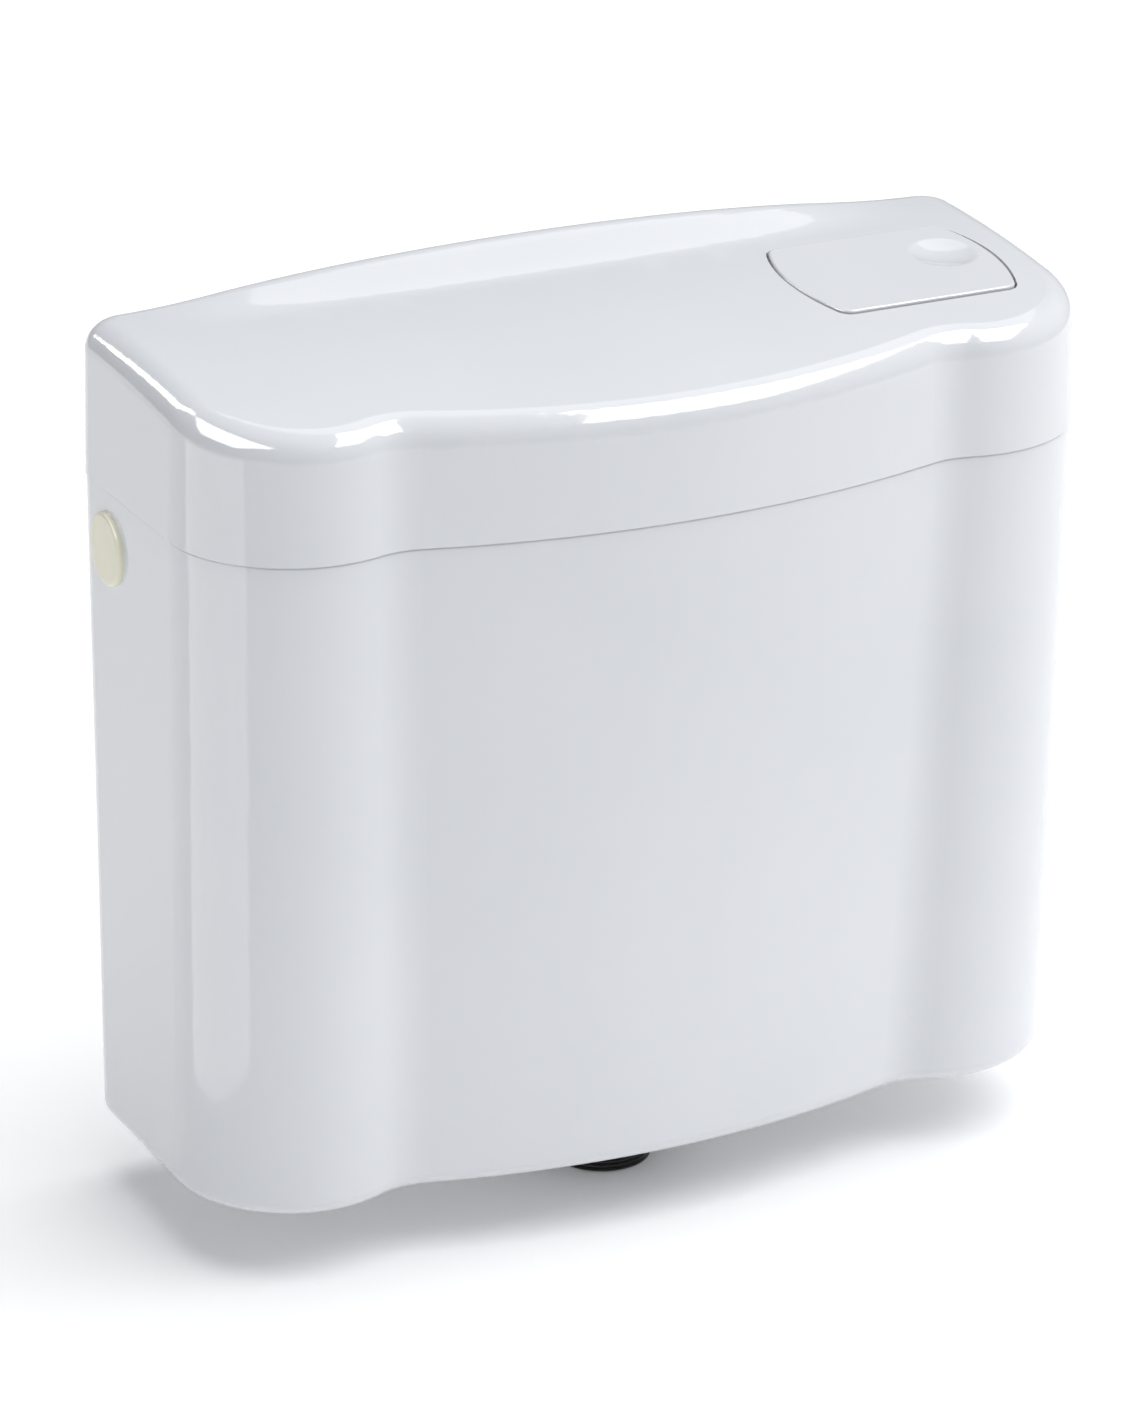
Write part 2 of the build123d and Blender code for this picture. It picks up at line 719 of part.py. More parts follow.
with BuildPart() as bridge_screws:
    for screw_y in (screw_rear_y, screw_front_y):
        with BuildSketch(Plane.XY.offset(bridge_top_z)):
            with Locations((lever_pivot_x, screw_y)):
                Circle(bridge_screw_diameter / 2)
        extrude(amount=-bridge_screw_length)
        with BuildSketch(Plane.XY.offset(bridge_top_z)):
            with Locations((lever_pivot_x, screw_y)):
                Circle(bridge_screw_head / 2)
        extrude(amount=bridge_screw_head_height)
        with BuildSketch(Plane.XY.offset(bridge_top_z + bridge_screw_head_height)):
            with Locations((lever_pivot_x, screw_y)):
                Rectangle(bridge_screw_head, bridge_screw_slot)
        extrude(amount=-bridge_screw_slot, mode=Mode.SUBTRACT)
finish(bridge_screws.part, "bridge_screws")

# Return spring: a coil that stands on the bridge's arm and bears on the lever from below, wound
# of arcs, two to each quarter turn
lever_underside_z = lever_z - lever_bar_height / 2
spring_base_z = bridge_top_z + spring_wire / 2 + spring_seat_gap
spring_top_z = lever_underside_z - spring_wire / 2 - spring_seat_gap
spring_pitch = (spring_top_z - spring_base_z) / spring_turns
spring_radius = spring_mean_diameter / 2
spring_step = math.pi / 2


def spring_point(turn):
    """Point of the coil's centre line at an angle in radians."""
    x = spring_x + spring_radius * math.cos(turn)
    y = lever_y + spring_radius * math.sin(turn)
    return Vector(x, y, spring_base_z + spring_pitch * turn / (2 * math.pi))


def spring_tangent(turn):
    """Direction of the coil's centre line at an angle in radians."""
    rise = spring_pitch / (2 * math.pi)
    return Vector(-spring_radius * math.sin(turn), spring_radius * math.cos(turn), rise).normalized()


def biarc(start, start_tangent, end, end_tangent):
    """The joint of two equal-reach arcs between two points, and their common tangent there."""
    chord = end - start
    both = start_tangent + end_tangent
    a = 2 * (start_tangent.dot(end_tangent) - 1)
    b = -2 * chord.dot(both)
    c = chord.dot(chord)
    reach = (-b - math.sqrt(b * b - 4 * a * c)) / (2 * a)
    if reach < 0:
        reach = (-b + math.sqrt(b * b - 4 * a * c)) / (2 * a)
    near = start + start_tangent * reach
    far = end - end_tangent * reach
    return (near + far) * 0.5, (far - near).normalized()


with BuildPart() as return_spring:
    with BuildLine() as coil:
        for quarter in range(4 * spring_turns):
            turn = quarter * spring_step
            start = spring_point(turn)
            end = spring_point(turn + spring_step)
            start_tangent = spring_tangent(turn)
            joint, joint_tangent = biarc(start, start_tangent, end, spring_tangent(turn + spring_step))
            TangentArc(start, joint, tangent=start_tangent)
            TangentArc(joint, end, tangent=joint_tangent)
    with BuildSketch(Plane(origin=spring_point(0), z_dir=spring_tangent(0))):
        Circle(spring_wire / 2)
    sweep(path=coil.wires()[0])
finish(return_spring.part, "return_spring")
coil_points = []
for mark in range(2 * spring_turns * spring_marks + 1):
    coil_points.append(spring_point(mark * math.pi / spring_marks))
coil_gaps = []
for index, point in enumerate(coil_points):
    for other in coil_points[index + spring_marks:]:
        coil_gaps.append((other - point).length - spring_wire)
print("return spring, least gap to itself:", round(min(coil_gaps), 2))

# Outlet body: flange on the tank floor, seat above it and the threaded tail through the floor, its
# end bored out as a socket for the flush pipe
flange_base_z = tank_floor_z + tank_seal_thickness
flange_top_z = flange_base_z + outlet_flange_thickness
seat_top_z = flange_top_z + seat_height
tail_end_z = tank_base_z - outlet_reach
tail_plane = Plane(origin=(0, -outlet_setback, tail_end_z))
seal_bore = outlet_thread_diameter + 2 * part_clearance


def valve_plane(z):
    """Plane across the flush valve's axis at a height."""
    return Plane(origin=(0, -outlet_setback, z))


with BuildPart() as outlet_body:
    tail_length = flange_base_z - tail_end_z
    add(
        threaded_shaft(
            tail_plane, outlet_thread_diameter, outlet_thread_pitch, tail_length, outlet_bore_diameter
        )
    )
    flange_plane = valve_plane(flange_base_z)
    add(washer(flange_plane, outlet_flange_diameter, outlet_bore_diameter, outlet_flange_thickness))
    add(washer(valve_plane(flange_top_z), seat_diameter, outlet_bore_diameter, seat_height))
    fillet(outlet_body.faces().sort_by(Axis.Z)[-1].edges(), seat_lip_radius)
    with BuildSketch(tail_plane):
        Circle(outlet_socket_diameter / 2)
    extrude(amount=outlet_socket_depth, mode=Mode.SUBTRACT)
finish(outlet_body.part, "outlet_body")

with BuildPart() as tank_seal:
    add(washer(valve_plane(tank_floor_z), outlet_flange_diameter, seal_bore, tank_seal_thickness))
finish(tank_seal.part, "tank_seal")

washer_base_z = boss_base_z - outlet_washer_thickness
with BuildPart() as outlet_washer:
    add(washer(valve_plane(washer_base_z), outlet_washer_diameter, seal_bore, outlet_washer_thickness))
finish(outlet_washer.part, "outlet_washer")

with BuildPart() as outlet_backnut:
    with BuildSketch(valve_plane(washer_base_z)):
        Circle(backnut_diameter / 2)
        with PolarLocations(backnut_rib_diameter / 4, backnut_ribs):
            Rectangle(backnut_rib_diameter / 2, backnut_rib_width)
        Circle(seal_bore / 2, mode=Mode.SUBTRACT)
    extrude(amount=-backnut_height)
finish(outlet_backnut.part, "outlet_backnut")

# Flush valve: overflow tube that carries the seal, guided by the cage and lifted by the link
seal_base_z = seat_top_z + seal_gap
seal_top_z = seal_base_z + seal_disc_thickness
tube_top_z = seam_z - overflow_drop
tube_base_z = seal_base_z - tube_tail
tube_collar_z = tube_top_z - tube_collar_drop
tube_bore = tube_diameter - 2 * tube_wall
tube_fit = tube_diameter + 2 * part_clearance
with BuildPart() as overflow_tube:
    add(washer(valve_plane(tube_base_z), tube_diameter, tube_bore, tube_top_z - tube_base_z))
    add(washer(valve_plane(seal_top_z), tube_flange_diameter, tube_bore, tube_flange_thickness))
    add(washer(valve_plane(tube_collar_z), tube_collar_diameter, tube_bore, tube_collar_height))
finish(overflow_tube.part, "overflow_tube")

with BuildPart() as seal_disc:
    add(washer(valve_plane(seal_base_z), seal_disc_diameter, tube_fit, seal_disc_thickness))
finish(seal_disc.part, "seal_disc")

with BuildPart() as seal_retainer:
    retainer_plane = valve_plane(seal_base_z - retainer_height)
    add(hexagon_nut(retainer_plane, retainer_flats, tube_fit, retainer_height))
finish(seal_retainer.part, "seal_retainer")

float_cup_top_z = seam_z - float_cup_drop
with BuildPart() as valve_float:
    with BuildSketch(valve_plane(float_cup_top_z)):
        Circle(float_cup_diameter / 2)
    extrude(amount=-float_cup_height)
    fillet(valve_float.faces().sort_by(Axis.Z)[-1].edges(), float_cup_wall)
    with BuildSketch(valve_plane(float_cup_top_z - float_cup_wall)):
        Circle(float_cup_diameter / 2 - float_cup_wall)
        Circle(tube_fit / 2 + float_cup_wall, mode=Mode.SUBTRACT)
    extrude(amount=-float_cup_height, mode=Mode.SUBTRACT)
    with BuildSketch(valve_plane(float_cup_top_z)):
        Circle(tube_fit / 2)
    extrude(amount=-float_cup_height, mode=Mode.SUBTRACT)
finish(valve_float.part, "valve_float")

cage_top_z = flange_top_z + cage_height
cage_radius = outlet_flange_diameter / 2
cage_bore = tube_diameter / 2 + running_clearance
window_base_z = flange_top_z + cage_base_height
window_height = cage_height - cage_base_height - cage_window_margin
with BuildPart() as valve_cage:
    with BuildSketch(valve_plane(flange_top_z)):
        Circle(cage_radius)
        Circle(cage_radius - cage_wall, mode=Mode.SUBTRACT)
    extrude(amount=cage_height)
    with BuildSketch(valve_plane(cage_top_z)):
        Circle(cage_radius)
    extrude(amount=-cage_top_thickness)
    with BuildSketch(valve_plane(cage_top_z)):
        Circle(cage_bore + cage_hub_wall)
    extrude(amount=-cage_hub_height)
    with BuildSketch(valve_plane(cage_top_z)):
        Circle(cage_bore)
    extrude(amount=-cage_hub_height, mode=Mode.SUBTRACT)
    with BuildSketch(valve_plane(window_base_z)):
        with PolarLocations(cage_radius, cage_windows, start_angle=180 / cage_windows):
            Rectangle(2 * cage_hub_height, cage_window_width)
    extrude(amount=window_height, mode=Mode.SUBTRACT)
finish(valve_cage.part, "valve_cage")

# Lift link: hook on the lever's peg, over a stirrup whose open ring snaps on under the tube's collar
link_slot = lever_peg_diameter + 2 * link_slot_clearance
link_top = lever_peg_diameter / 2 + link_slot_clearance + link_eye_margin
link_head_z = tube_top_z + link_head_clearance
stirrup_inner = tube_collar_diameter / 2 + link_stirrup_clearance
stirrup_outer = stirrup_inner + link_stirrup_wall
ring_top_z = tube_collar_z
ring_base_z = ring_top_z - link_ring_height
with BuildPart() as lift_link:
    with BuildSketch(lever_plane):
        with BuildLine():
            eye_base = link_head_z - lever_z
            Polyline(
                (-link_eye_left, link_top),
                (link_eye_right, link_top),
                (link_eye_right, eye_base),
                (-link_eye_left, eye_base),
                close=True,
            )
        make_face()
        with Locations((link_slot_reach - link_slot / 2, 0)):
            Circle(link_slot / 2, mode=Mode.SUBTRACT)
        with Locations((link_slot_reach - link_slot / 2, 0)):
            hook_opening = link_eye_left + link_slot_reach
            Rectangle(
                hook_opening, link_slot, align=(Align.MAX, Align.CENTER), mode=Mode.SUBTRACT
            )
    extrude(amount=link_thickness / 2, both=True)
    with BuildSketch(valve_plane(link_head_z)):
        Rectangle(link_strap_width, 2 * stirrup_outer)
    extrude(amount=-link_stirrup_wall)
    with BuildSketch(valve_plane(link_head_z)):
        for side in (1, -1):
            with Locations((0, side * (stirrup_inner + stirrup_outer) / 2)):
                Rectangle(link_strap_width, link_stirrup_wall)
    extrude(amount=ring_base_z - link_head_z)
    add(washer(valve_plane(ring_base_z), 2 * stirrup_outer, tube_fit, link_ring_height))
    with BuildSketch(valve_plane(ring_base_z)):
        Rectangle(2 * stirrup_outer, link_clip_opening, align=(Align.MAX, Align.CENTER))
    extrude(amount=link_ring_height, mode=Mode.SUBTRACT)
finish(lift_link.part, "lift_link")

# Fill valve: threaded shank through the right wall with a plain lead at its end, barrel and spigot
inlet_plane = Plane(
    origin=(inner_wall_x, -inlet_setback, inlet_z), x_dir=(0, 1, 0), z_dir=(1, 0, 0)
)
flange_inner = -inlet_washer_thickness - inlet_flange_thickness
barrel_end = flange_inner - valve_barrel_length
spigot_x = inner_wall_x + flange_inner - spigot_inset
spigot_plane = Plane(origin=(spigot_x, -inlet_setback, inlet_z), x_dir=(1, 0, 0), z_dir=(0, 0, -1))
shank_bore = inlet_bore_diameter
with BuildPart() as fill_valve_body:
    thread_length = inlet_washer_thickness + tank_wall + inlet_reach - inlet_lead_length
    shank_plane = inlet_plane.offset(-inlet_washer_thickness)
    add(threaded_shaft(shank_plane, inlet_thread_diameter, inlet_thread_pitch, thread_length, shank_bore))
    add(washer(shank_plane.offset(thread_length), inlet_lead_diameter, shank_bore, inlet_lead_length))
    with BuildSketch(shank_plane):
        Circle(inlet_flange_diameter / 2)
    extrude(amount=-inlet_flange_thickness)
    with BuildSketch(inlet_plane.offset(flange_inner)):
        Circle(valve_barrel_diameter / 2)
    extrude(amount=-valve_barrel_length)
    with BuildSketch(spigot_plane):
        Circle(spigot_diameter / 2)
    extrude(amount=spigot_length)
    chamber_end = barrel_end + valve_chamber_depth
    bore_end = chamber_end + valve_chamber_wall
    with BuildSketch(inlet_plane.offset(-inlet_washer_thickness)):
        Circle(shank_bore / 2)
    extrude(amount=bore_end + inlet_washer_thickness, mode=Mode.SUBTRACT)
    with BuildSketch(inlet_plane.offset(barrel_end)):
        Circle(valve_nozzle_bore / 2)
    extrude(amount=valve_chamber_depth + valve_chamber_wall, mode=Mode.SUBTRACT)
    with BuildSketch(inlet_plane.offset(barrel_end)):
        Circle(valve_chamber_diameter / 2)
        Circle(valve_nozzle_diameter / 2, mode=Mode.SUBTRACT)
    extrude(amount=valve_chamber_depth, mode=Mode.SUBTRACT)
    with BuildSketch(spigot_plane.offset(valve_chamber_diameter / 2 - valve_chamber_wall)):
        Circle(spigot_bore / 2)
    extrude(amount=spigot_length, mode=Mode.SUBTRACT)
finish(fill_valve_body.part, "fill_valve_body")

inlet_fit = inlet_thread_diameter + 2 * part_clearance
with BuildPart() as inlet_washer:
    washer_plane = inlet_plane.offset(-inlet_washer_thickness)
    add(washer(washer_plane, inlet_flange_diameter, inlet_fit, inlet_washer_thickness))
finish(inlet_washer.part, "inlet_washer")

with BuildPart() as inlet_backnut:
    add(hexagon_nut(inlet_plane.offset(tank_wall), inlet_nut_flats, inlet_fit, inlet_nut_height))
finish(inlet_backnut.part, "inlet_backnut")

shank_end = tank_wall + inlet_reach
with BuildPart() as inlet_filter:
    filter_bore = filter_diameter - 2 * filter_wall
    add(washer(inlet_plane.offset(shank_end - filter_length), filter_diameter, filter_bore, filter_length))
    with BuildSketch(inlet_plane.offset(shank_end - filter_length)):
        Circle(filter_diameter / 2)
    extrude(amount=filter_wall)
    add(washer(inlet_plane.offset(shank_end), filter_flange_diameter, filter_bore, filter_flange_thickness))
finish(inlet_filter.part, "inlet_filter")

# Valve head: disc that the cap nut holds over the diaphragm, with two ears for the float arm
with BuildPart() as valve_diaphragm:
    with BuildSketch(inlet_plane.offset(barrel_end)):
        Circle(valve_barrel_diameter / 2)
    extrude(amount=-diaphragm_thickness)
finish(valve_diaphragm.part, "valve_diaphragm")

head_face = barrel_end - diaphragm_thickness
head_back = head_face - head_disc_thickness
ear_end = head_back - head_ear_reach
ear_inner = arm_thickness / 2 + running_clearance
arm_pivot_x = inner_wall_x + ear_end + arm_pivot_inset
arm_pivot_z = inlet_z - arm_pivot_drop
ear_base_z = arm_pivot_z - head_stop_drop - head_stop_height
ear_left = inner_wall_x + ear_end
ear_right = inner_wall_x + head_back - head_ear_root
ear_bottom_right = ear_left + 2 * arm_pivot_inset
side_plane = Plane(origin=(0, -inlet_setback, 0), x_dir=(1, 0, 0), z_dir=(0, -1, 0))
with BuildPart() as valve_head:
    with BuildSketch(inlet_plane.offset(head_face)):
        Circle(valve_barrel_diameter / 2)
    extrude(amount=-head_disc_thickness)
    with BuildSketch(inlet_plane.offset(head_back)):
        Circle(head_neck_diameter / 2)
    extrude(amount=-head_neck_length)
    for side in (1, -1):
        with BuildSketch(side_plane.offset(side * (ear_inner + head_ear_thickness / 2))):
            with BuildLine():
                Polyline(
                    (ear_right, inlet_z + head_ear_rise),
                    (ear_left, inlet_z + head_ear_rise),
                    (ear_left, ear_base_z),
                    (ear_bottom_right, ear_base_z),
                    (ear_bottom_right, inlet_z - head_ear_rise),
                    (ear_right, inlet_z - head_ear_rise),
                    close=True,
                )
            make_face()
            with Locations((arm_pivot_x, arm_pivot_z)):
                Circle(arm_pin_diameter / 2 + part_clearance, mode=Mode.SUBTRACT)
        extrude(amount=head_ear_thickness / 2, both=True)
    with BuildSketch(side_plane):
        with Locations((ear_left, ear_base_z)):
            Rectangle(head_stop_width, head_stop_height, align=(Align.MIN, Align.MIN))
    extrude(amount=ear_inner + head_ear_thickness, both=True)
    with BuildSketch(inlet_plane.offset(head_face)):
        Circle(plunger_head_diameter / 2 + running_clearance)
    extrude(amount=-plunger_head_thickness - plunger_travel - plunger_room, mode=Mode.SUBTRACT)
    with BuildSketch(inlet_plane.offset(head_face)):
        Circle(plunger_diameter / 2 + part_clearance)
    extrude(amount=-head_disc_thickness - head_neck_length, mode=Mode.SUBTRACT)
finish(valve_head.part, "valve_head")

with BuildPart() as valve_cap_nut:
    cap_end = head_back - cap_nut_end
    with BuildSketch(inlet_plane.offset(cap_end)):
        Circle(cap_nut_diameter / 2)
        with PolarLocations(cap_nut_diameter / 2, cap_nut_ribs):
            Circle(cap_nut_rib_diameter / 2)
        Circle(head_neck_diameter / 2 + part_clearance, mode=Mode.SUBTRACT)
    extrude(amount=cap_nut_end + cap_nut_skirt)
    with BuildSketch(inlet_plane.offset(head_back)):
        Circle(valve_barrel_diameter / 2 + part_clearance)
    extrude(amount=cap_nut_skirt, mode=Mode.SUBTRACT)
finish(valve_cap_nut.part, "valve_cap_nut")

# Plunger, drawn at its open end: a head behind the diaphragm and a stem through the head's neck
plunger_top = head_face - plunger_travel
with BuildPart() as valve_plunger:
    with BuildSketch(inlet_plane.offset(plunger_top)):
        Circle(plunger_head_diameter / 2)
    extrude(amount=-plunger_head_thickness)
    with BuildSketch(inlet_plane.offset(plunger_top)):
        Circle(plunger_diameter / 2)
    extrude(amount=-plunger_reach)
finish(valve_plunger.part, "valve_plunger")

# Float arm, hanging on its stop: hub on the pin, cam up to the plunger's height, bar to the float
arm_tilt = math.radians(arm_hang_angle)
arm_plane = Plane(
    origin=(arm_pivot_x, -inlet_setback, arm_pivot_z),
    x_dir=(math.cos(arm_tilt), 0, math.sin(arm_tilt)),
    z_dir=(0, -1, 0),
)


def arm_cross_plane(height):
    """Plane across the float's axis, at a height over the arm's centre line."""
    origin = arm_plane.from_local_coords(Vector(-arm_reach, height, 0))
    return Plane(origin=origin, x_dir=arm_plane.x_dir, z_dir=arm_plane.y_dir)


def arm_screw_plane(reach):
    """Plane across the level screw's axis, at a reach to the right of the pivot."""
    origin = arm_plane.from_local_coords(Vector(reach, arm_pivot_drop, 0))
    return Plane(origin=origin, x_dir=(0, 1, 0), z_dir=arm_plane.x_dir)


with BuildPart() as float_arm:
    with BuildSketch(arm_plane):
        Circle(arm_hub_radius)
        Rectangle(arm_cam_thickness, arm_cam_height, align=(Align.CENTER, Align.MIN))
        Rectangle(arm_reach, arm_bar_height, align=(Align.MAX, Align.CENTER))
        Circle(arm_pin_diameter / 2 + part_clearance, mode=Mode.SUBTRACT)
    extrude(amount=arm_thickness / 2, both=True)
    with BuildSketch(arm_cross_plane(-arm_bar_height / 2)):
        Circle(arm_boss_diameter / 2)
    extrude(amount=arm_bar_height)
    with BuildSketch(arm_cross_plane(-arm_bar_height / 2)):
        Circle(fill_float_neck_diameter / 2 + part_clearance)
    extrude(amount=arm_bar_height, mode=Mode.SUBTRACT)
    with BuildSketch(arm_screw_plane(0)):
        Circle(level_screw_diameter / 2 + part_clearance)
    extrude(amount=arm_cam_thickness, both=True, mode=Mode.SUBTRACT)
finish(float_arm.part, "float_arm")

with BuildPart() as float_arm_pin:
    with BuildSketch(side_plane):
        with Locations((arm_pivot_x, arm_pivot_z)):
            Circle(arm_pin_diameter / 2)
    extrude(amount=ear_inner + head_ear_thickness, both=True)
finish(float_arm_pin.part, "float_arm_pin")

# Level screw: through the top of the cam, its tip at the plunger's end
screw_tip_reach = inner_wall_x + head_face - plunger_reach - level_screw_gap - arm_pivot_x
screw_foot_reach = screw_tip_reach - level_screw_length
with BuildPart() as level_screw:
    screw_plane = arm_screw_plane(screw_foot_reach)
    add(threaded_shaft(screw_plane, level_screw_diameter, level_screw_pitch, level_screw_length, 0))
    with BuildSketch(screw_plane):
        Circle(level_screw_head_diameter / 2)
    extrude(amount=-level_screw_head_height)
finish(level_screw.part, "level_screw")

# Fill float: cup, open below, whose neck is held in the arm's boss
float_top = -arm_bar_height / 2
with BuildPart() as fill_float:
    with BuildSketch(arm_cross_plane(float_top)):
        Circle(fill_float_diameter / 2)
    extrude(amount=-fill_float_height)
    fillet(fill_float.edges().sort_by(Axis.Z)[-1], fill_float_fillet)
    with BuildSketch(arm_cross_plane(float_top - fill_float_wall / 2)):
        Circle(fill_float_neck_diameter / 2)
    extrude(amount=arm_bar_height + fill_float_wall / 2)
    with BuildSketch(arm_cross_plane(float_top - fill_float_wall)):
        Circle(fill_float_diameter / 2 - fill_float_wall)
    extrude(amount=-fill_float_height, mode=Mode.SUBTRACT)
finish(fill_float.part, "fill_float")

with BuildPart() as fill_tube:
    tube_length = inlet_z - spigot_length + fill_tube_overlap - tank_floor_z - fill_tube_foot
    with BuildSketch(spigot_plane.offset(spigot_length - fill_tube_overlap)):
        Circle(spigot_diameter / 2 + part_clearance + fill_tube_wall)
        Circle(spigot_diameter / 2 + part_clearance, mode=Mode.SUBTRACT)
    extrude(amount=tube_length)
finish(fill_tube.part, "fill_tube")

# Blanking plug in the unused left inlet: domed head outside, washer and nut inside
plug_plane = Plane(
    origin=(-outer_wall_x, -inlet_setback, inlet_z), x_dir=(0, 1, 0), z_dir=(-1, 0, 0)
)
with BuildPart() as blanking_plug:
    with BuildSketch(plug_plane):
        Circle(plug_head_diameter / 2)
    extrude(amount=plug_head_thickness)
    fillet(blanking_plug.faces().sort_by(Axis.X)[0].edges(), plug_head_fillet)
    shank_back = Plane(origin=plug_plane.origin, x_dir=(0, 1, 0), z_dir=(1, 0, 0))
    add(threaded_shaft(shank_back, inlet_thread_diameter, inlet_thread_pitch, plug_shank_length, 0))
finish(blanking_plug.part, "blanking_plug")

plug_inner_plane = shank_back.offset(tank_wall)
with BuildPart() as plug_washer:
    add(washer(plug_inner_plane, inlet_flange_diameter, inlet_fit, inlet_washer_thickness))
finish(plug_washer.part, "plug_washer")

with BuildPart() as plug_nut:
    nut_plane = plug_inner_plane.offset(inlet_washer_thickness)
    add(hexagon_nut(nut_plane, plug_nut_flats, inlet_fit, plug_nut_height))
finish(plug_nut.part, "plug_nut")
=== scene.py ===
import json
from math import cos, pi, radians, sin

import bpy
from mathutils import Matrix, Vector


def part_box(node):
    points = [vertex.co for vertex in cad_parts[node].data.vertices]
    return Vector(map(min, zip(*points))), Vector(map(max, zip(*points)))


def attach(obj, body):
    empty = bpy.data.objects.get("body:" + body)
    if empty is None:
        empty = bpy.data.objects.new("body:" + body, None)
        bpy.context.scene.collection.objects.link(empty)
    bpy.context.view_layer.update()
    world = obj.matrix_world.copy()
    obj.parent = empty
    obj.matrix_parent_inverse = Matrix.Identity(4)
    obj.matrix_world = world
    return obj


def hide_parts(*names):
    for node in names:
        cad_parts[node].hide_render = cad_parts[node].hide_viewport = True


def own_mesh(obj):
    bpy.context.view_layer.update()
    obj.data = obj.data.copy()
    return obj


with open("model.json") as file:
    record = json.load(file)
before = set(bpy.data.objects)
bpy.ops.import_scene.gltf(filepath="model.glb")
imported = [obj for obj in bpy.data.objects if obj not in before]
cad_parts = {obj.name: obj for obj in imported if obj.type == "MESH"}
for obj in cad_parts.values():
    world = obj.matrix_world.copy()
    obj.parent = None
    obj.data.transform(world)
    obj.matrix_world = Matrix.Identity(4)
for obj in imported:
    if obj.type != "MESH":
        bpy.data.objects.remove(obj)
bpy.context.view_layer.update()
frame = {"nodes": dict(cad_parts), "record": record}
scene = bpy.context.scene
nodes = frame["nodes"]

# Camera: the photograph's viewpoint in metres, and its focal length in pixels of a frame
# 1402 pixels high
IMAGE_HEIGHT = 1402
FOCAL_PIXELS = 6418
SENSOR = 36.0
NEAR_CLIP = 0.1
FAR_CLIP = 30.0
VIEWPOINT = (-1.2572, -2.6318, 1.0456)
TARGET = (-0.0184, -0.0863, -0.0890)
camera_data = bpy.data.cameras.new("camera")
camera_data.sensor_width = SENSOR
camera_data.lens = FOCAL_PIXELS / IMAGE_HEIGHT * SENSOR
camera_data.clip_start = NEAR_CLIP
camera_data.clip_end = FAR_CLIP
camera = bpy.data.objects.new("camera", camera_data)
camera.location = VIEWPOINT
camera.rotation_euler = (Vector(TARGET) - Vector(VIEWPOINT)).to_track_quat("-Z", "Y").to_euler()
scene.collection.objects.link(camera)
scene.camera = camera


# Materials, all of them made of nodes on the pieces' own coordinates, in metres. Noise lies
# mostly between these two values.
NOISE_LOW = 0.3
NOISE_HIGH = 0.7


class Surface:
    """A Principled material with its node tree at hand."""

    def __init__(self, name, metallic=0.0, specular=0.5, coat=0.0, coat_roughness=0.05):
        self.material = bpy.data.materials.new(name)
        self.material.use_nodes = True
        self.tree = self.material.node_tree
        self.shader = self.tree.nodes["Principled BSDF"]
        self.shader.inputs["Metallic"].default_value = metallic
        self.shader.inputs["Specular IOR Level"].default_value = specular
        self.shader.inputs["Coat Weight"].default_value = coat
        self.shader.inputs["Coat Roughness"].default_value = coat_roughness
        self.place = self.tree.nodes.new("ShaderNodeTexCoord").outputs["Object"]

    def join(self, source, target):
        """Link from a node's output to an input."""
        self.tree.links.new(source, target)

    def stretched(self, scale):
        """Coordinates stretched by a factor on each axis."""
        mapping = self.tree.nodes.new("ShaderNodeMapping")
        mapping.inputs["Scale"].default_value = scale
        self.join(self.place, mapping.inputs["Vector"])
        return mapping.outputs["Vector"]

    def noise(self, scale, detail=3.0, rough=0.5, place=None):
        """Noise with a number of waves to the metre."""
        texture = self.tree.nodes.new("ShaderNodeTexNoise")
        texture.inputs["Scale"].default_value = scale
        texture.inputs["Detail"].default_value = detail
        texture.inputs["Roughness"].default_value = rough
        self.join(place or self.place, texture.inputs["Vector"])
        return texture.outputs["Fac"]

    def tones(self, source, dark, light):
        """Base colour between two tones."""
        ramp = self.tree.nodes.new("ShaderNodeValToRGB")
        ramp.color_ramp.elements[0].position = NOISE_LOW
        ramp.color_ramp.elements[0].color = (*dark, 1)
        ramp.color_ramp.elements[1].position = NOISE_HIGH
        ramp.color_ramp.elements[1].color = (*light, 1)
        self.join(source, ramp.inputs["Fac"])
        self.join(ramp.outputs["Color"], self.shader.inputs["Base Color"])

    def roughness(self, source, low, high):
        """Roughness between two values."""
        spread = self.tree.nodes.new("ShaderNodeMapRange")
        spread.inputs["From Min"].default_value = NOISE_LOW
        spread.inputs["From Max"].default_value = NOISE_HIGH
        spread.inputs["To Min"].default_value = low
        spread.inputs["To Max"].default_value = high
        self.join(source, spread.inputs["Value"])
        self.join(spread.outputs["Result"], self.shader.inputs["Roughness"])

    def bumps(self, *layers):
        """Relief of layers, each a source and its height in metres from its lowest to its highest."""
        normal = None
        for source, height in layers:
            bump = self.tree.nodes.new("ShaderNodeBump")
            bump.inputs["Strength"].default_value = 1.0
            bump.inputs["Distance"].default_value = height
            self.join(source, bump.inputs["Height"])
            if normal is not None:
                self.join(normal, bump.inputs["Normal"])
            normal = bump.outputs["Normal"]
        self.join(normal, self.shader.inputs["Normal"])


def gloss_white():
    """High-gloss moulding: slow waves of the mould's polish under a faint grain."""
    surface = Surface("white_plastic", specular=0.5, coat=0.35, coat_roughness=0.02)
    cloud = surface.noise(7.0, 2.0)
    grain = surface.noise(900.0, 4.0)
    wave = surface.noise(16.0, 1.0)
    surface.tones(cloud, (0.705, 0.722, 0.750), (0.730, 0.745, 0.770))
    surface.roughness(surface.noise(45.0, 5.0, 0.65), 0.07, 0.12)
    surface.bumps((wave, 0.00007), (grain, 0.0000012))
    return surface.material


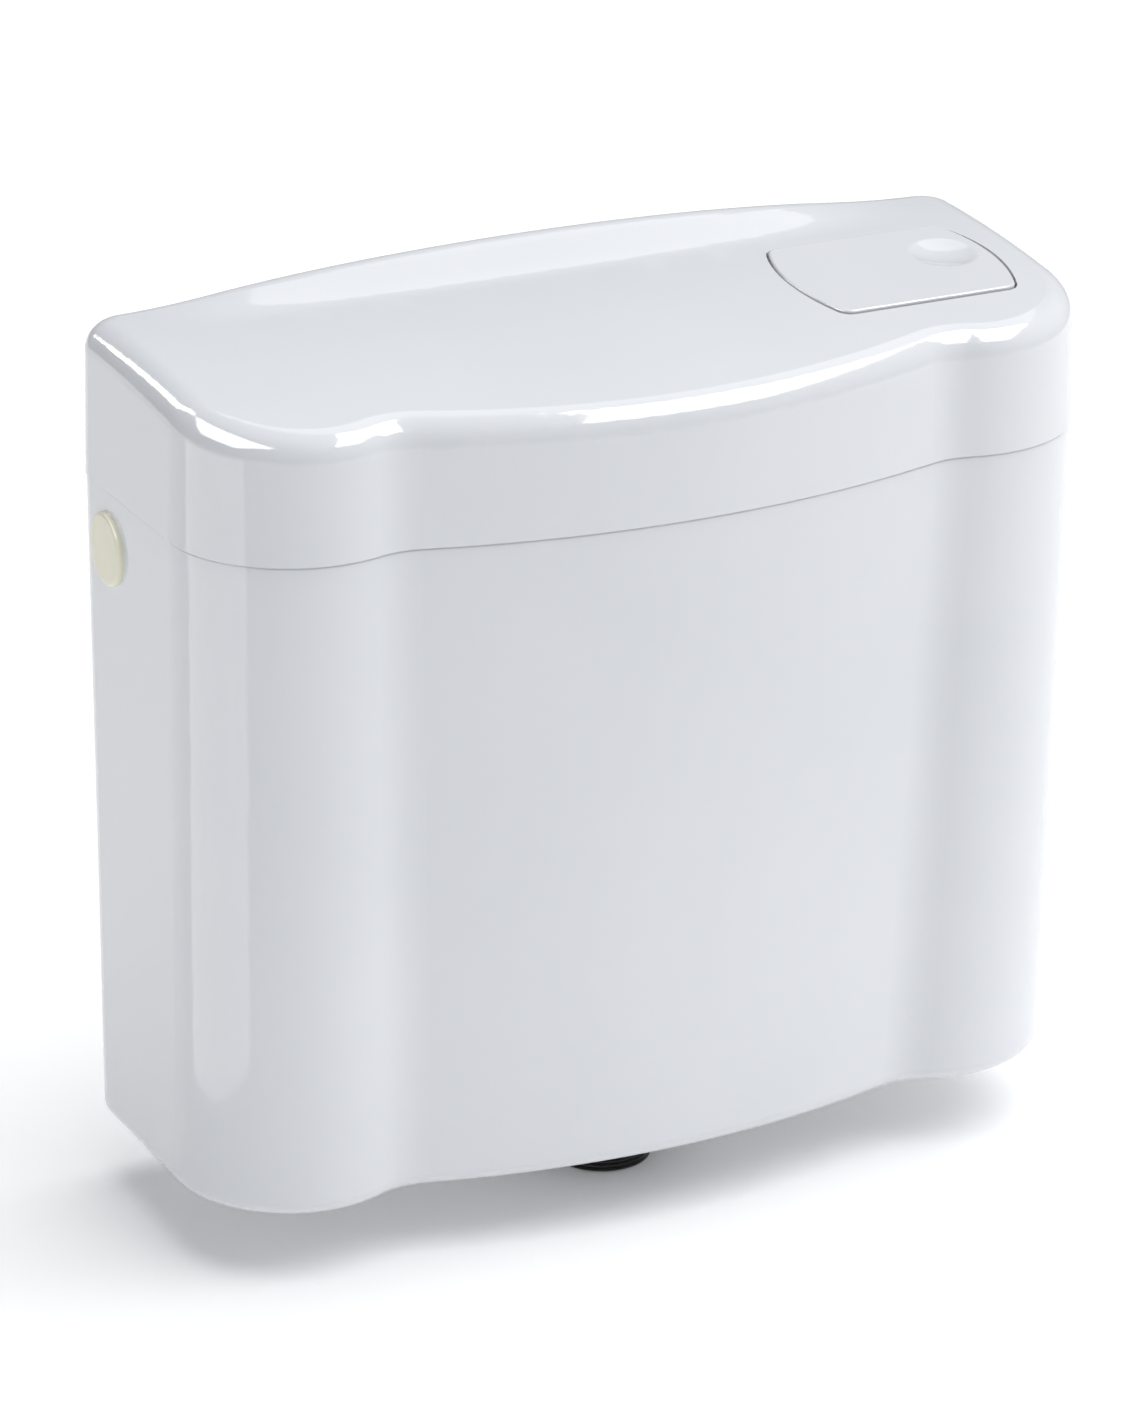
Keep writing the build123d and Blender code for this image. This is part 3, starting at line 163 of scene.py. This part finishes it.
def satin(name, dark, light, low, high, subsurface=0.0):
    """Satin moulding: mottled tone, fine spark-eroded grain and slow sink."""
    surface = Surface(name)
    surface.shader.inputs["Subsurface Weight"].default_value = subsurface
    surface.shader.inputs["Subsurface Radius"].default_value = (0.004, 0.0036, 0.003)
    surface.shader.inputs["Subsurface Scale"].default_value = 1.0
    mottle = surface.noise(60.0, 4.0, 0.6)
    grain = surface.noise(2200.0, 3.0, 0.7)
    sink = surface.noise(35.0, 1.0)
    surface.tones(mottle, dark, light)
    surface.roughness(surface.noise(500.0, 4.0, 0.6), low, high)
    surface.bumps((sink, 0.00008), (grain, 0.000012))
    return surface.material


def rubber(name):
    """Moulded rubber: dull, dusty patches over a fine tooth."""
    surface = Surface(name, specular=0.35)
    bloom = surface.noise(120.0, 5.0, 0.65)
    tooth = surface.noise(1600.0, 4.0, 0.7)
    surface.tones(bloom, (0.018, 0.018, 0.019), (0.045, 0.045, 0.046))
    surface.roughness(bloom, 0.55, 0.78)
    surface.bumps((tooth, 0.00003))
    return surface.material


def metal(name, dark, light, scale, low, high):
    """Turned or drawn metal: fine lines along one axis, with tarnish in soft patches."""
    surface = Surface(name, metallic=1.0)
    lines = surface.noise(1.0, 4.0, 0.6, surface.stretched(scale))
    patch = surface.noise(90.0, 4.0, 0.6)
    surface.tones(patch, dark, light)
    surface.roughness(lines, low, high)
    surface.bumps((lines, 0.000010), (patch, 0.000015))
    return surface.material


materials = {
    "white_plastic": gloss_white(),
    "cream_plastic": satin(
        "cream_plastic", (0.820, 0.800, 0.630), (0.860, 0.840, 0.680), 0.30, 0.42
    ),
    "black_plastic": satin(
        "black_plastic", (0.034, 0.034, 0.036), (0.052, 0.052, 0.054), 0.26, 0.42
    ),
    "natural_plastic": satin(
        "natural_plastic", (0.66, 0.66, 0.62), (0.74, 0.74, 0.70), 0.36, 0.52, subsurface=0.15
    ),
    "grey_plastic": satin(
        "grey_plastic", (0.14, 0.145, 0.155), (0.18, 0.185, 0.195), 0.38, 0.55
    ),
    "blue_plastic": satin(
        "blue_plastic", (0.020, 0.055, 0.220), (0.032, 0.075, 0.270), 0.30, 0.46
    ),
    "seal_rubber": rubber("seal_rubber"),
    "brass": metal(
        "brass", (0.50, 0.33, 0.12), (0.66, 0.47, 0.20), (1500.0, 60.0, 60.0), 0.22, 0.40
    ),
    "steel": metal(
        "steel", (0.46, 0.46, 0.46), (0.60, 0.60, 0.59), (60.0, 60.0, 1800.0), 0.20, 0.38
    ),
}
for subpart in frame["record"]["subparts"]:
    for slot in nodes[subpart["node"]].material_slots:
        slot.material = materials[subpart["material_slot"]]

# Return spring: the same coil as in the CAD, drawn here as a mesh of its own.
SPRING_WIRE = 0.0012
SPRING_TURNS = 6
SPRING_STEPS = 32
SPRING_SIDES = 12
spring_low, spring_high = (Vector(corner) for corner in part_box("return_spring"))
spring_foot = (spring_low + spring_high) / 2
spring_foot.z = spring_low.z
spring_height = spring_high.z - spring_low.z
spring_radius = (spring_high.x - spring_low.x - SPRING_WIRE) / 2
spring_rise = (spring_height - SPRING_WIRE) / (SPRING_TURNS * 2 * pi)
spring_rings = SPRING_TURNS * SPRING_STEPS + 1
spring_points = []
for ring in range(spring_rings):
    turn = 2 * pi * ring / SPRING_STEPS
    outward = Vector((cos(turn), sin(turn), 0))
    forward = Vector((-sin(turn), cos(turn), 0))
    along = (forward * spring_radius + Vector((0, 0, spring_rise))).normalized()
    across = along.cross(outward)
    climb = Vector((0, 0, SPRING_WIRE / 2 + spring_rise * turn))
    middle = spring_foot + outward * spring_radius + climb
    for side in range(SPRING_SIDES):
        angle = 2 * pi * side / SPRING_SIDES
        edge = outward * cos(angle) + across * sin(angle)
        spring_points.append(middle + edge * SPRING_WIRE / 2)
spring_faces = []
for ring in range(spring_rings - 1):
    here = ring * SPRING_SIDES
    there = here + SPRING_SIDES
    for side in range(SPRING_SIDES):
        after = (side + 1) % SPRING_SIDES
        spring_faces.append((here + side, here + after, there + after, there + side))
last = (spring_rings - 1) * SPRING_SIDES
spring_faces.append(tuple(reversed(range(SPRING_SIDES))))
spring_faces.append(tuple(last + side for side in range(SPRING_SIDES)))
spring_mesh = bpy.data.meshes.new("coil_spring")
spring_mesh.from_pydata(spring_points, [], spring_faces)
for face in spring_mesh.polygons:
    face.use_smooth = len(face.vertices) == 4
spring_mesh.materials.append(materials["steel"])
coil_spring = bpy.data.objects.new("coil_spring", spring_mesh)
scene.collection.objects.link(coil_spring)
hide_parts("return_spring")
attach(coil_spring, "tank")
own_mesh(coil_spring)

# Floor: pale matt paper under the outlet's end, with a faint glow of its own
FLOOR_Z = -0.3275
FLOOR_REACH = 4.0
FLOOR_GLOW = 0.12
corners = [(-1, -1), (1, -1), (1, 1), (-1, 1)]
floor_mesh = bpy.data.meshes.new("floor")
floor_mesh.from_pydata(
    [(x * FLOOR_REACH, y * FLOOR_REACH, FLOOR_Z) for x, y in corners], [], [(0, 1, 2, 3)]
)
floor = bpy.data.objects.new("floor", floor_mesh)
scene.collection.objects.link(floor)
paper = Surface("floor_paper", specular=0.1)
paper.tones(paper.noise(3.0, 2.0), (0.885, 0.885, 0.890), (0.905, 0.905, 0.908))
paper.roughness(paper.noise(300.0, 4.0), 0.85, 0.95)
paper.shader.inputs["Emission Color"].default_value = (1, 1, 1, 1)
paper.shader.inputs["Emission Strength"].default_value = FLOOR_GLOW
floor_mesh.materials.append(paper.material)

# Light: a pale studio. Most panels only show as reflections in the gloss, as a studio's soft boxes,
# walls and ceiling do.
SKY_COLOUR = (0.94, 0.965, 1.0, 1)
SKY_STRENGTH = 0.31
SUN_STRENGTH = 2.7
SUN_SPREAD = 1.2
SUN_DIRECTION = (0.28, -0.12, 0.95)
scene.view_settings.view_transform = "Standard"
world = bpy.data.worlds.new("studio")
scene.world = world
world.use_nodes = True
background = world.node_tree.nodes["Background"]
background.inputs["Color"].default_value = SKY_COLOUR
background.inputs["Strength"].default_value = SKY_STRENGTH


def panel(name, place, turn, size, radiance, gloss=True, matt=False):
    """Rectangular lamp: its turn as Euler angles from facing down, its radiance in watts per
    square metre and steradian, and whether it shows in gloss and lights matt surfaces."""
    data = bpy.data.lights.new(name, "AREA")
    data.shape = "RECTANGLE"
    data.size, data.size_y = size
    data.energy = radiance * pi * size[0] * size[1]
    lamp = bpy.data.objects.new(name, data)
    lamp.location = place
    lamp.rotation_euler = turn
    lamp.visible_camera = False
    lamp.visible_glossy = gloss
    lamp.visible_diffuse = matt
    scene.collection.objects.link(lamp)


panel("front", (1.17, -0.95, 2.0), (0, 0, 0), (1.12, 2.1), 9)
panel("left", (-2.95, -0.3, 2.0), (0, 0, 0), (3.3, 3.0), 9)
panel("left_strip", (-2.05, 3.7, 2.0), (0, 0, 0.39), (0.5, 5.0), 10)
panel("ceiling", (1.2, 1.1, 2.2), (0, 0, 0), (1.6, 1.8), 0.9)
panel("side_card", (-0.40, -0.125, -0.14), (0, radians(-90), 0), (0.375, 0.25), 1.0)
right_turn = (0, radians(72), radians(-23))
panel("right_fill", (2.6, -1.2, 0.8), right_turn, (1.4, 1.4), 2.3, gloss=False, matt=True)

# Even light of the whole studio, too far off to mirror in the gloss
daylight = bpy.data.lights.new("daylight", "SUN")
daylight.energy = SUN_STRENGTH
daylight.angle = SUN_SPREAD
sky = bpy.data.objects.new("daylight", daylight)
sky.rotation_euler = Vector(SUN_DIRECTION).to_track_quat("Z", "Y").to_euler()
sky.visible_glossy = False
scene.collection.objects.link(sky)
